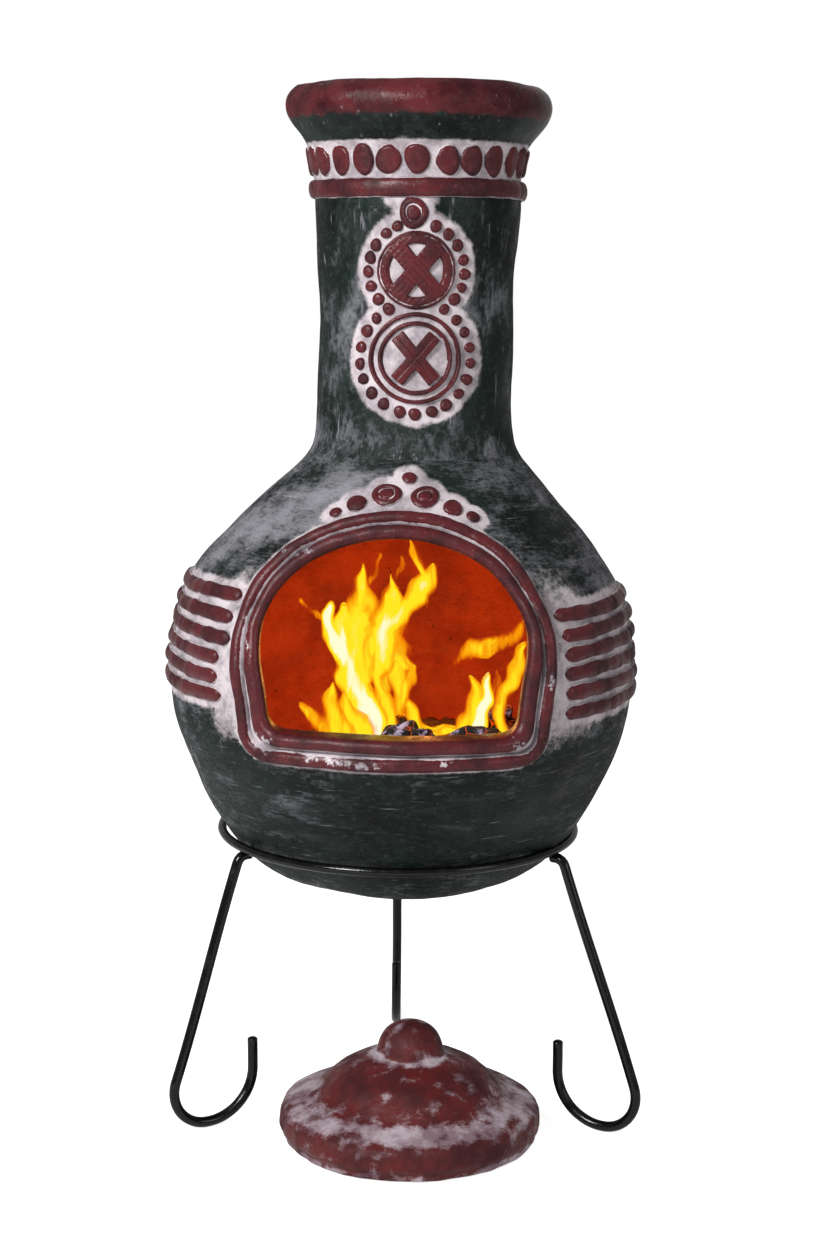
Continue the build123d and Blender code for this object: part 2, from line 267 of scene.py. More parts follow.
def fan_faces(first, count, centre, flip):
    """Triangles that close a ring of points about one point in its middle."""
    edges = [(first + j, first + (j + 1) % count) for j in range(count)]
    return [(centre, *edge[::-1]) if flip else (centre, *edge) for edge in edges]


class Batch:
    """Vertices, faces and one value per vertex, gathered from several closed lumps."""

    def __init__(self):
        self.points, self.faces, self.low = [], [], []
        self.count = 0

    def skin(self, rows, low, closed):
        """Adds closed sections row by row and gives where the first and the last row start."""
        m, n = rows.shape[:2]
        self.faces += grid_faces(m, n, closed, True, self.count)
        self.points.append(rows.reshape(-1, 3))
        self.low.append(np.asarray(low, float).reshape(-1))
        first, self.count = self.count, self.count + m * n
        return first, first + (m - 1) * n

    def cap(self, row, first, low, flip):
        """Closes a row with a fan."""
        self.points.append(row.mean(axis=0)[None])
        self.low.append(np.array([low]))
        self.faces += fan_faces(first, len(row), self.count, flip)
        self.count += 1

    def tube(self, rows, low, closed):
        """Rows of closed sections; a closed tube meets itself, and an open one gets its two ends."""
        rows = np.asarray(rows)
        first, last = self.skin(rows, low, closed)
        if not closed:
            self.cap(rows[0], first, 1.0, True)
            self.cap(rows[-1], last, 1.0, False)

    def disc(self, rings, low):
        """Rings from the middle out, the last one sunk in the wall and closed underneath."""
        rings = np.asarray(rings)
        first, last = self.skin(rings, low, False)
        self.cap(rings[0], first, low[0][0], False)
        self.cap(rings[-1], last, low[-1][0], True)

    def make(self, name, material, body, replaces):
        points = np.concatenate(self.points)
        low = np.concatenate(self.low)
        make_object(name, points, self.faces, material, body, replaces, {"low": low})

    def make_trim(self, name, nodes):
        """The batch as red trim on the pot, standing for the named nodes."""
        self.make(name, trim_clay, "pot", nodes)


# ------------ materials
class Graph:
    """A node material in the making: each method adds one node and gives its output."""

    def __init__(self, name):
        self.material = bpy.data.materials.new(name)
        self.material.use_nodes = True
        self.tree = self.material.node_tree
        self.shader = self.tree.nodes["Principled BSDF"]
        self.here = self.add("ShaderNodeTexCoord").outputs["Object"]

    def add(self, kind, inputs=(), **settings):
        node = self.tree.nodes.new(kind)
        for key, value in settings.items():
            setattr(node, key, value)
        for key, value in dict(inputs).items():
            self.plug(node.inputs[key], value)
        return node

    def plug(self, socket, value):
        if isinstance(value, bpy.types.NodeSocket):
            self.tree.links.new(value, socket)
        else:
            socket.default_value = value

    def stretched(self, scale):
        return self.add("ShaderNodeMapping", {"Vector": self.here, "Scale": scale}).outputs[0]

    def noise(self, scale, detail=4.0, roughness=0.6, vector=None, distortion=0.0):
        inputs = {"Vector": vector or self.here, "Scale": scale, "Detail": detail,
                  "Roughness": roughness, "Distortion": distortion}
        return self.add("ShaderNodeTexNoise", inputs).outputs[0]

    def attribute(self, name):
        return self.add("ShaderNodeAttribute", attribute_name=name).outputs["Fac"]

    def math(self, operation, a, b=0.0):
        return self.add("ShaderNodeMath", {0: a, 1: b}, operation=operation).outputs[0]

    def plus(self, base, value, weight, centre=0.0):
        """base + (value - centre) * weight"""
        if centre:
            value = self.math("SUBTRACT", value, centre)
        return self.math("ADD", base, self.math("MULTIPLY", value, weight))

    def mask(self, value, low, high, strength=1.0):
        inputs = {"Value": value, "From Min": low, "From Max": high, "To Min": 0.0, "To Max": strength}
        return self.add("ShaderNodeMapRange", inputs, interpolation_type="SMOOTHSTEP").outputs[0]

    def mix(self, factor, a, b):
        return self.add("ShaderNodeMix", {0: factor, 6: a, 7: b}, data_type="RGBA").outputs[2]

    def bump(self, height, distance, strength=1.0, normal=None):
        inputs = {"Height": height, "Distance": distance, "Strength": strength}
        if normal:
            inputs["Normal"] = normal
        return self.add("ShaderNodeBump", inputs).outputs[0]

    def finish(self, **values):
        for key, value in values.items():
            self.plug(self.shader.inputs[key.replace("_", " ")], value)
        return self.material


WASH_LIGHT = srgb(196, 186, 190)
WASH_DARK = srgb(140, 131, 136)
GREEN_DARK = srgb(8, 12, 11)
GREEN = srgb(17, 28, 24)
GREEN_PALE = srgb(30, 43, 39)
GREEN_GREY = srgb(50, 57, 57)
CHALK = srgb(136, 135, 141)
RED = srgb(84, 32, 36)
RED_DARK = srgb(50, 17, 21)
SOOT = srgb(30, 12, 8)


def painted_clay(name, strokes, scores):
    """Matt painted clay: green paint rubbed back to chalk, white wash round the trim, red where it says.

    Attributes, 0..1: wash, wear (rubbed paint, with painted light: see paint_wall), red, inside (the firebox
    and flue), and the firelight painted on the inner wall as its own light."""
    g = Graph(name)
    stroke = g.noise(11.0, 8.0, 0.72, g.stretched(strokes), 0.3)
    scratch = g.noise(75.0, 6.0, 0.75, g.stretched(strokes))
    grain = g.noise(170.0, 3.0, 0.6)
    patch = g.noise(7.0, 4.0, 0.55)
    colour = g.mix(g.mask(patch, 0.4, 0.62), GREEN_DARK, GREEN)
    mottle = g.noise(36.0, 7.0, 0.8, g.stretched((1.0, 1.0, 1.7)))
    colour = g.mix(g.mask(mottle, 0.5, 0.66, 0.7), colour, GREEN_PALE)
    colour = g.mix(g.mask(mottle, 0.47, 0.36, 0.8), colour, GREEN_DARK)
    colour = g.mix(g.mask(stroke, 0.48, 0.72, 0.7), colour, GREEN_GREY)
    wear = g.attribute("wear")
    rub = g.plus(g.plus(scratch, stroke, 1.1), grain, 0.6)
    rub = g.math("ADD", rub, wear)
    colour = g.mix(g.mask(rub, 1.36, 2.12, 0.88), colour, CHALK)
    flaw = g.math("MULTIPLY", scratch, grain)
    colour = g.mix(g.mask(flaw, 0.28, 0.42, 0.7), colour, GREEN_GREY)
    scored = g.noise(14.0, 3.0, 0.6, g.stretched(scores))
    colour = g.mix(g.mask(scored, 0.64, 0.74, 0.6), colour, CHALK)
    red = g.mix(g.mask(g.noise(24.0, 5.0, 0.65), 0.35, 0.68), RED, RED_DARK)
    red = g.mix(g.mask(flaw, 0.34, 0.46, 0.6), red, WASH_DARK)
    colour = g.mix(g.attribute("red"), colour, red)
    wash = g.plus(g.attribute("wash"), g.noise(55.0, 7.0, 0.78), 1.8, centre=0.5)
    white = g.mix(g.mask(g.noise(30.0, 6.0, 0.7), 0.35, 0.62), WASH_DARK, WASH_LIGHT)
    colour = g.mix(g.mask(wash, 0.22, 0.86), colour, white)
    clay = g.mix(g.mask(g.noise(16.0, 6.0, 0.65), 0.35, 0.7), srgb(150, 62, 30), srgb(96, 34, 18))
    soot = g.mask(g.noise(210.0, 2.0, 0.5), 0.7, 0.74)
    colour = g.mix(g.attribute("inside"), colour, g.mix(soot, clay, SOOT))
    # painted firelight: the inner wall gives out this fire colour as its own light, duller where sooty
    painted_firelight_tint = g.mix(soot, srgb(146, 30, 6), srgb(60, 12, 3))
    light = g.mix(g.attribute("painted_firelight"), (0, 0, 0, 1), painted_firelight_tint)
    rough = g.math("ADD", g.math("MULTIPLY", stroke, 0.5), g.math("MULTIPLY", scratch, 0.5))
    normal = g.bump(rough, 0.0016, 0.9)
    normal = g.bump(grain, 0.0005, 0.6, normal)
    return g.finish(Base_Color=colour, Roughness=g.mask(rub, 0.8, 1.8, 0.95), Normal=normal,
                    Emission_Color=light, Emission_Strength=0.50, Specular_IOR_Level=0.15)


def red_clay(name):
    """Red painted clay, worn to the white wash where it is low, at its edges, and in flecks.

    Attribute low is 1 at the foot of a raised shape and in its grooves."""
    g = Graph(name)
    patch = g.noise(26.0, 5.0, 0.65)
    grain = g.noise(190.0, 3.0, 0.6)
    chips = g.noise(75.0, 6.0, 0.72)
    colour = g.mix(g.mask(patch, 0.36, 0.66), RED, RED_DARK)
    colour = g.mix(g.mask(grain, 0.52, 0.72, 0.28), colour, srgb(112, 54, 58))
    low = g.plus(g.attribute("low"), chips, 2.0, centre=0.5)
    white = g.mix(g.mask(patch, 0.4, 0.6), WASH_LIGHT, WASH_DARK)
    colour = g.mix(g.mask(low, 0.6, 0.8), colour, white)
    colour = g.mix(g.mask(chips, 0.66, 0.72, 0.3), colour, white)
    normal = g.bump(chips, 0.0012, 0.8)
    normal = g.bump(grain, 0.0005, 0.7, normal)
    return g.finish(Base_Color=colour, Roughness=g.mask(patch, 0.2, 0.9, 0.9), Normal=normal,
                    Specular_IOR_Level=0.22)


pot_clay = painted_clay("green painted clay, bowl", (1.0, 1.0, 5.0), (1.2, 1.2, 24.0))
neck_clay = painted_clay("green painted clay, neck", (1.6, 1.6, 1.0), (9.0, 9.0, 1.0))
trim_clay = red_clay("red painted clay")


# ------------ outline of the mouth
MOUTH_X, MOUTH_HALF, MOUTH_FOOT = -8.0, 138.5, 127.0
MOUTH_SILL, MOUTH_SPRING, MOUTH_CROWN = 464.0, 548.0, 660.0
MOUTH_CORNER = 19.0
# what the frame adds on its outside: at the sides, below the sill, above the crown and at the corners
FRAME_SIDE, FRAME_SILL, FRAME_CROWN, FRAME_CORNER = 29.0, 33.0, 24.5, 11.0
SPRING_DROP = 22.0


def mouth_loop(share, dense=1):
    """The arched mouth seen from the front at one step across its frame: 0 the opening, 1 the outside."""
    half = MOUTH_HALF + FRAME_SIDE * share
    foot = MOUTH_FOOT + FRAME_SIDE * share
    sill = MOUTH_SILL - FRAME_SILL * share
    spring = MOUTH_SPRING - SPRING_DROP * share
    crown = MOUTH_CROWN + FRAME_CROWN * share
    corner = np.array([foot, sill])
    rise = np.array([half - foot, spring - sill])
    rise /= np.linalg.norm(rise)
    cut = MOUTH_CORNER + FRAME_CORNER * share
    sill_end, side_end = corner - [cut, 0], corner + rise * cut
    t = np.linspace(0, 1, 40 * dense, endpoint=False)[:, None]
    floor = t * sill_end
    floor[:, 1] = sill
    t = np.linspace(0, 1, 16 * dense, endpoint=False)[:, None]
    bend = (1 - t) ** 2 * sill_end + 2 * t * (1 - t) * corner + t ** 2 * side_end
    t = np.linspace(0, 1, 16 * dense, endpoint=False)[:, None]
    side = side_end + t * (np.array([half, spring]) - side_end)
    turn = np.linspace(0, math.pi / 2, 64 * dense)[:, None]
    arch = np.hstack([half * np.cos(turn), spring + (crown - spring) * np.sin(turn)])
    right = np.vstack([floor, bend, side, arch])
    # ease the side into the arch, whose slopes differ where they meet
    meet, reach, even = 72 * dense, 9 * dense, right.copy()
    for i in range(meet - 2 * reach, meet + 2 * reach):
        share_here = math.exp(-((i - meet) / reach) ** 2)
        even[i] += share_here * (right[i - reach:i + reach + 1].mean(axis=0) - right[i])
    left = even[-2:0:-1] * [-1, 1]
    return np.vstack([even, left]) + [MOUTH_X, 0]


# ------------ raised clay shapes
# the wall is not washed round "beads": arcs through them are marked as part of the medallion
trim_marks = {"medallion": [], "beads": [], "mouth": [], "studs": [], "ribs": []}


def mark(group, rows):
    """Keeps where a trim's foot meets the wall, so the wall can be washed white round it."""
    trim_marks[group].append(np.asarray(rows).reshape(-1, 3))


def dome(batch, group, azimuth, s, half_width, half_height, relief,
         groove=None, flat=2.6, rings=10, around=36):
    """A pressed button of clay: a low dome on the pot, with a hand-made outline, and maybe a ring groove."""
    theta = circle(around)
    shape = 1 + 0.045 * np.sin(2 * theta + rng.uniform(0, 6)) + 0.03 * np.sin(3 * theta + rng.uniform(0, 6))
    r_here = np.interp(s, pot.s, pot.r)
    rows, low = [], []
    for i in range(rings + 2):
        q = min(i / rings, 1.0) if i else 0.02
        lift = relief * (1 - q ** flat) ** (1 / 2.2) if i <= rings else -3.0
        dip = 0.0
        if groove and i <= rings:
            dip = math.exp(-((q - groove) / 0.09) ** 2)
            lift -= dip * relief * 0.45
        across = q * half_width * shape * np.sin(theta)
        along = q * half_height * shape * np.cos(theta)
        rows.append(pot.place(azimuth + across / r_here, s + along, lift))
        low.append(np.full(around, max(smooth(0.86, 1.0, q), 0.75 * dip)))
    batch.disc(rows, low)
    mark(group, rows[rings])


# worn patches of the mouth's frame, and one painted highlight, the tall narrow one along the left crest: x,
# height, half width and half height
FRAME_WEAR_AND_HIGHLIGHT = [(-150, 452, 20, 14), (-90, 441, 26, 8), (-44, 437, 30, 9), (40, 440, 20, 5),
              (120, 454, 18, 15), (150, 520, 9, 15), (-164, 560, 9, 34), (-112, 646, 34, 9)]


def frame_wear_and_highlight(points):
    """Where the mouth's frame has rubbed through to the white wash, and the painted highlight on its left
    crest, 0..1.
    """
    x, z = points[..., 0], points[..., 2]
    return sum(0.72 * np.exp(-((x - px) / wide) ** 2 - ((z - pz) / high) ** 2)
               for px, pz, wide, high in FRAME_WEAR_AND_HIGHLIGHT)


def roll(batch, group, azimuths, heights, half_width, relief, closed=False, rough=0.035, sections=20):
    """A roll of clay laid along a path on the pot: uneven in width and height, round at its ends."""
    azimuths, heights = np.asarray(azimuths, float), np.asarray(heights, float)
    s = pot.s_at(heights)
    r = pot.r_at(heights)
    path = pot.place(azimuths, s)
    step = np.linalg.norm(np.diff(path, axis=0, append=path[:1] if closed else path[-1:]), axis=1)
    length = np.r_[0, np.cumsum(step[:-1])]
    if closed:
        ahead = np.stack([np.roll(azimuths, -1) - np.roll(azimuths, 1), np.roll(s, -1) - np.roll(s, 1)], 1)
        ahead[:, 0] = (ahead[:, 0] + math.pi) % (2 * math.pi) - math.pi
    else:
        ahead = np.stack([np.gradient(azimuths), np.gradient(s)], 1)
    ahead[:, 0] *= r
    ahead /= np.linalg.norm(ahead, axis=1)[:, None]
    uneven = 1 + rough * (0.6 * hand_dents(path) + 0.4 * hand_wobble(path))
    taper = np.ones(len(path))
    if not closed:
        from_end = np.minimum(length, length[-1] - length)
        taper = np.sqrt(np.clip(1 - (1 - np.clip(from_end / (half_width * 1.1), 0, 1)) ** 2, 0.02, 1))
    phi = np.linspace(0, math.pi, sections)
    across = -np.cos(phi)
    lift = np.sin(phi) ** 0.75
    across = np.r_[across, 0.55, -0.55]
    lift = np.r_[lift, -0.5, -0.5]
    low = np.r_[smooth(0.82, 0.97, np.abs(np.cos(phi))), 1, 1]
    width = (half_width * uneven * taper)[:, None] * across
    height = (relief * uneven * taper)[:, None] * lift
    side_az = ahead[:, 1][:, None] * width / r[:, None]
    side_s = -ahead[:, 0][:, None] * width
    rows = pot.place(azimuths[:, None] + side_az, s[:, None] + side_s, height)
    low = low + frame_wear_and_highlight(rows) if group == "mouth" else np.broadcast_to(low, rows.shape[:2])
    batch.tube(rows, np.clip(low, 0, 1), closed)
    mark(group, rows[:, 0])
    mark(group, rows[:, sections - 1])


FRAME_ROLL_HEIGHT = 9.5


def line_mouth():
    """The inner roll of the mouth's frame and the lining that wraps back through the wall."""
    # share across the frame, height of the roll, depth behind the wall's face, low
    section = [(0.225 - 0.225 * math.cos(phi), FRAME_ROLL_HEIGHT * math.sin(phi) ** 0.75, 0.0,
                float(smooth(0.6, 0.9, -math.cos(phi)))) for phi in np.linspace(0, math.pi, 18)]
    roll_edge = len(section) - 1
    section += [(0.36, 0, 4, 1), (0.25, 0, 30, 0), (0.12, 0, 31, 0), (0.03, 0, 29, 0),
                (0.0, 0, 22, 0), (-0.01, 0, 12, 0), (-0.005, 0, 4, 0)]
    columns, lows = [], []
    for share, lift, deep, low in section:
        x, z = mouth_loop(share, 2).T
        flat = pot.from_front(x, z)
        uneven = 1 + 0.02 * hand_dents(flat) + 0.02 * hand_wobble(flat)
        points = pot.from_front(x, z, lift * uneven)
        points[:, 1] += deep
        columns.append(points)
        lows.append(low)
    rows = np.stack(columns, 1)
    batch = Batch()
    batch.tube(rows, np.clip(np.array(lows) + frame_wear_and_highlight(rows), 0, 1), True)
    mark("mouth", rows[:, roll_edge])
    batch.make_trim("mouth_roll_inner_clay", ["mouth_roll_inner"])


line_mouth()

outer_roll = Batch()
x, z = mouth_loop(0.765, 2).T
azimuths = np.arcsin(x / pot.r_at(z))
roll(outer_roll, "mouth", azimuths, z, 7.6, FRAME_ROLL_HEIGHT, closed=True)
outer_roll.make_trim("mouth_roll_outer_clay", ["mouth_roll_outer"])

# studs over the mouth: azimuth, height, radius; the large ones have a ring pressed into them
CROWN_STUDS = [(-27, 682, 7.0), (-20.5, 692, 11.0), (-9.5, 701, 15.5), (-1, 717, 8.0),
               (6, 699, 15.5), (16.5, 688, 10.5), (23.5, 679, 7.5)]
for number, (azimuth, z, radius) in enumerate(CROWN_STUDS, start=1):
    stud = Batch()
    dome(stud, "studs", math.radians(azimuth), pot.s_at(z), radius * 1.04, radius, 5.0,
         groove=0.5 if radius > 12 else None, rings=16, around=48)
    stud.make_trim(f"crown_stud_{number}_clay", [f"crown_stud_{number}"])

# ribs on the bowl's shoulders, from the top one down: fronts are the azimuths where they start
for side, sign, top, drop, fronts in (("left", -1, 595.0, 20.7, (44.6, 46.0, 45.0, 48.0, 48.2, 47.4)),
                                      ("right", 1, 582.0, 20.3, (41.0, 41.5, 41.5, 41.8, 41.8, 41.5))):
    for number, front in enumerate(fronts):
        rib = Batch()
        ends = front + rng.uniform(-0.5, 0.5), 112 + rng.uniform(-2, 2)
        turn = np.radians(np.linspace(*ends, 150)) * sign
        z = top - number * drop + 1.2 * np.sin(turn * 5 + number)
        roll(rib, "ribs", turn, z, 7.9, 5.6, rough=0.07)
        rib.make_trim(f"rib_{side}_{number + 1}_clay", [f"rib_{side}_{number + 1}"])

# trim on the neck
moulding = Batch()
turn = np.linspace(-math.pi, math.pi, 300, endpoint=False)
roll(moulding, "medallion", turn, MOULDING_Z + 0.8 * np.sin(2 * turn), 10.2, 6.8, closed=True)
trim_marks["medallion"].clear()   # its wash is the band of the collar, painted by height
moulding.make_trim("neck_moulding_clay", ["neck_moulding"])

buttons = Batch()
for i in range(BUTTON_COUNT):
    azimuth = math.radians(i * 360 / BUTTON_COUNT + rng.uniform(-0.9, 0.9))
    dome(buttons, "studs", azimuth, pot.s_at(BUTTON_Z) + rng.uniform(-1, 1), 13.9 * rng.uniform(0.93, 1.04),
         16.6 * rng.uniform(0.96, 1.03), 5.0, flat=4)
    trim_marks["studs"].pop()     # the same band covers the buttons
buttons.make_trim("collar_buttons_clay", ["collar_buttons"])

top_button = Batch()
azimuth, z, radius = TOP_BUTTON
dome(top_button, "medallion", math.radians(azimuth), pot.s_at(z), radius, radius, 5.5,
     groove=0.5, rings=18, around=48)
mark("medallion", pot.from_front(np.linspace(-30, 16, 60), 1005.0))
top_button.make_trim("top_button_clay", ["top_button"])


def bar(x, z, reach, half_width, turn):
    """1 on a bar through the middle, turned from level, with soft edges; 0 beyond it."""
    along = x * math.cos(turn) + z * math.sin(turn)
    across = -x * math.sin(turn) + z * math.cos(turn)
    return (1 - smooth(half_width - 0.9, half_width + 0.6, np.abs(across))) * \
        (1 - smooth(reach - 0.9, reach + 0.6, np.abs(along)))


def wheel(name, centre_z, radius, relief, nodes, rings=64, around=220):
    """A clay wheel pressed onto the neck, as one height field in rings about its hub."""
    theta = circle(around)
    rows, lows = [], []
    for i in range(rings + 2):
        q = min(i, rings) / rings
        r = max(q * radius, 0.3)
        x, z = r * np.sin(theta), r * np.cos(theta)
        height, low = relief(x, z, r * np.ones(around))
        if i > rings:
            height, low = np.full(around, -3.0), np.ones(around)
        rows.append(pot.from_front(x * (1 + 0.01 * np.sin(theta * 3)), centre_z + z, height))
        lows.append(low)
        if i % 8 == 0:
            mark("medallion", rows[i])
    batch = Batch()
    batch.disc(rows, lows)
    batch.make_trim(name, nodes)


def ridge(r, inner, outer):
    """1 between two radii, with round shoulders."""
    return plateau(inner - 0.8, inner + 1.4, outer - 1.6, outer + 0.4, r)


def upper_relief(x, z, r):
    """A rim with a fine groove, and a disc pierced by four windows that leave a cross."""
    cross = np.maximum(bar(x, z, 36, 9.5, WHEEL_TILT), bar(x, z, 36, 9.5, -WHEEL_TILT))
    window = (1 - cross) * plateau(11.0, 13.0, 26.5, 29.0, r)
    groove = np.exp(-((r - 36.6) / 0.9) ** 2)
    body = 4.6 * (1 - smooth(38.0, 40.9, r)) - 1.6 * groove - 0.8 * (1 - smooth(29, 31, r)) * (1 - cross)
    height = body * (1 - window) - 1.5 * window + 0.25 * np.sin(x * 0.9) * np.sin(z * 0.8)
    return height, np.clip(window + 0.8 * groove + smooth(39.4, 40.9, r), 0, 1)


def lower_relief(x, z, r):
    """Two rings and a free-standing cross, with the wall showing between them."""
    cross = np.maximum(bar(x, z, 31, 7.7, WHEEL_TILT), bar(x, z, 31, 7.7, -WHEEL_TILT))
    rings_here = np.maximum(ridge(r, 43.4, 48.4), ridge(r, 33.8, 39.0))
    shape = np.maximum(cross * (1 - smooth(30.5, 32, r)), rings_here)
    scored = sum(np.exp(-((x * math.sin(a) - z * math.cos(a)) / 0.7) ** 2) for a in (WHEEL_TILT, -WHEEL_TILT))
    height = 5.0 * shape - 1.5 * (1 - shape) - 0.9 * np.clip(scored, 0, 1) * cross
    return height, np.clip(1 - shape + 0.25 * scored * cross, 0, 1)


wheel("upper_wheel_clay", UPPER_WHEEL_Z, UPPER_WHEEL_R, upper_relief,
      ["upper_wheel_rim", "upper_wheel_cross"])
wheel("lower_wheel_clay", LOWER_WHEEL_Z, LOWER_WHEEL_R, lower_relief,
      ["lower_wheel_rim", "lower_wheel_ring", "lower_wheel_cross"])

for name, centre, radius, clocks in (
        ("upper_beads", UPPER_WHEEL_Z, 49.5, [side * (24 + i * 17.2) for side in (-1, 1) for i in range(8)]),
        ("lower_beads", LOWER_WHEEL_Z, 58.3, [45.7 + i * 16.8 for i in range(17)])):
    beads = Batch()
    for clock in clocks:
        clock = math.radians(clock + rng.uniform(-1.2, 1.2))
        z = centre + radius * math.cos(clock)
        azimuth = math.asin(radius * math.sin(clock) / pot.r_at(z))
        size = rng.uniform(5.9, 7.1)
        dome(beads, "beads", azimuth, pot.s_at(z), size, size * rng.uniform(0.9, 1.05), 4.6,
             groove=0.02 if rng.random() < 0.5 else None, rings=8, around=26)
    beads.make_trim(f"{name}_clay", [name])
    sweep = np.radians(np.linspace(min(clocks), max(clocks), 120))
    for r in (radius - 6, radius, radius + 6):
        mark("medallion", pot.from_front(r * np.sin(sweep), centre + r * np.cos(sweep)))


# ------------ the walls
def near(points, group):
    """Distance from each point to the nearest foot of a trim group, in millimetres."""
    marks = np.concatenate(trim_marks[group])
    tree = KDTree(len(marks))
    for i, point in enumerate(marks):
        tree.insert(point, i)
    tree.balance()
    return np.array([tree.find(point)[2] for point in points])


def inside_pot(points):
    """1 where a point belongs to the inner face of the wall."""
    radius = np.hypot(points[:, 0] - lean(points[:, 2]), points[:, 1])
    outer = np.interp(points[:, 2], pot.z, pot.r)
    inner = np.interp(points[:, 2], hollow.z, hollow.r)
    return ((radius < (outer + inner) / 2) & (points[:, 2] > HEARTH_Z - 4)).astype(float)


def paint_wall(thing):
    """Sets the wash, wear, red, inside and painted firelight attributes of a piece of the pot's wall."""
    mesh = thing.data
    points = np.zeros(len(mesh.vertices) * 3)
    mesh.vertices.foreach_get("co", points)
    points = points.reshape(-1, 3) / MM
    x, y, z = points.T
    outer = 1 - inside_pot(points)
    wash = np.zeros(len(points))
    front = y < 60
    for group, full, none in (("medallion", 1, 13), ("mouth", 3, 15), ("studs", 5, 16), ("ribs", 3, 14)):
        gone = np.full(len(points), 1e3)
        gone[front] = near(points[front], group)
        if group == "mouth":
            gone = gone * (1 + 1.3 * (1 - smooth(425, 450, z)) + 0.5 * smooth(60, 110, x))
        wash = np.maximum(wash, 1 - smooth(full, none, gone))
    back_ribs = (~front) & (z > 470) & (z < 605)
    if back_ribs.any():
        wash[back_ribs] = np.maximum(wash[back_ribs], 1 - smooth(4, 14, near(points[back_ribs], "ribs")))
    wash = np.maximum(wash, plateau(1006, 1012, 1062, 1068, z))
    azimuth = np.arctan2(x, -y)
    # the side between the ribs and the mouth's frame, where both washes meet
    gap = 1 - smooth(0.08, 0.24, np.abs(np.abs(azimuth) - 0.74))
    wash = np.maximum(wash, 0.8 * gap * plateau(420, 480, 585, 650, z))
    # the wear is rubbed paint with painted light in it: lighter to the left, where the key light falls, and
    # darker on the right under the rim and low on the bowl, where shade falls
    shoulder = plateau(600, 660, 700, 745, z)
    lit_left = 0.5 - 0.5 * np.sin(azimuth)
    wear = 0.10 + 0.22 * shoulder * (0.35 + lit_left)
    wear = wear + 0.42 * np.exp(-((z - 752) / 26) ** 2) * (0.1 + 0.9 * lit_left ** 2)
    wear += 0.08 * hand_wobble(points * 0.6) + 0.05 * hand_dents(points * 0.7)
    wear -= 0.09 * smooth(770, 820, z) + 0.12 * (1 - smooth(380, 470, z))
    wear -= (0.08 + 0.3 * (1 - lit_left)) * smooth(1060, 1070, z)
    red = smooth(1088.5, 1091.5, z + 0.8 * hand_dents(points)) * outer
    # firelight painted on the inner wall, strongest low in the firebox and gone up the flue
    painted_firelight = (1 - outer) * (1 - smooth(690, 790, z)) * (0.72 + 0.28 * smooth(640, 470, z))
    set_values(mesh, {"wash": wash * outer, "wear": wear * outer, "red": red,
                      "inside": 1 - outer, "painted_firelight": painted_firelight})


def lathe(profile_rows, around):
    """A closed turned solid from rows of points; the first and last rows are closed with fans."""
    m = len(profile_rows)
    points = np.concatenate(profile_rows)
    faces = grid_faces(m, around, False, True)
    for row, flip in ((0, True), (m - 1, False)):
        faces += fan_faces(row * around, around, len(points), flip)
        points = np.vstack([points, profile_rows[row].mean(axis=0)[None]])
    return points, faces


AROUND = 360
turn_all = np.linspace(-math.pi, math.pi, AROUND, endpoint=False)


def wall_rows(skin, z_from, z_to, count):
    s = np.linspace(skin.s_at(z_from), skin.s_at(z_to), count)
    return [skin.place(turn_all, value) for value in s]


def shrink(row, share):
    centre = row.mean(axis=0)
    return centre + (row - centre) * share


bowl_outside = wall_rows(pot, BOWL_FOOT_Z, SEAM_Z, 150)
bowl_inside = wall_rows(hollow, SEAM_Z, HEARTH_Z, 60)
base_rows = [shrink(bowl_outside[0], share) for share in (0.35, 0.7, 0.95)]
hearth_rows = [shrink(bowl_inside[-1], share) for share in (0.9, 0.6, 0.3)]
points, faces = lathe(base_rows + bowl_outside + bowl_inside + hearth_rows, AROUND)
bowl = make_object("bowl_clay", points, faces, pot_clay, "pot", ["bowl"])

cutter_loop = mouth_loop(0.2)
depth = [np.column_stack([cutter_loop[:, 0] + lean(cutter_loop[:, 1]), np.full(len(cutter_loop), y),
                          cutter_loop[:, 1]]) for y in (-330.0, -100.0)]
points, faces = lathe(depth, len(cutter_loop))
cutter = make_object("mouth_cutter", points, faces, pot_clay, "pot")
cut = bowl.modifiers.new("mouth", "BOOLEAN")
cut.object = cutter
cut.solver = "EXACT"
graph = bpy.context.evaluated_depsgraph_get()
cut_mesh = bpy.data.meshes.new_from_object(bowl.evaluated_get(graph))
bowl.modifiers.remove(cut)
bowl.data = cut_mesh
bpy.data.objects.remove(cutter)
bowl.data.shade_smooth()
bowl.data.set_sharp_from_angle(angle=math.radians(50))


paint_wall(bowl)

# the neck and the rim are rings of clay: up the outside and down the flue
for node, slot, z_from, z_to, rows_out, rows_in, sharp in (
        ("neck", "green_clay", SEAM_Z, RIM_FOOT_Z, 110, 40, 50),
        ("rim", "red_clay", RIM_FOOT_Z, RIM_TOP_Z, 34, 24, 60)):
    rows = wall_rows(pot, z_from, z_to, rows_out) + wall_rows(hollow, z_to, z_from, rows_in)
    faces = grid_faces(len(rows), AROUND, True, True)
    band = make_object(f"{node}_clay", np.concatenate(rows), faces, neck_clay, "pot", [node],
                       sharp=sharp)
    paint_wall(band)


# ------------ the lid
LID_X, LID_Y = 9.0, -137.0
LID_AROUND, KNOB_AROUND = 240, 90
LID_SIDE = [(123.5, 0), (131, 0), (136.5, 2.5), (137.5, 8), (140.6, 13), (141, 22), (139, 32),
            (132, 38.5), (113, 46), (98, 55.5), (84, 69), (62, 82.5), (36, 93.5)]
KNOB_SIDE = [(41, 85), (37.5, 92), (35.5, 99), (33, 108), (26.5, 118), (15, 125.5), (0.5, 128.5)]


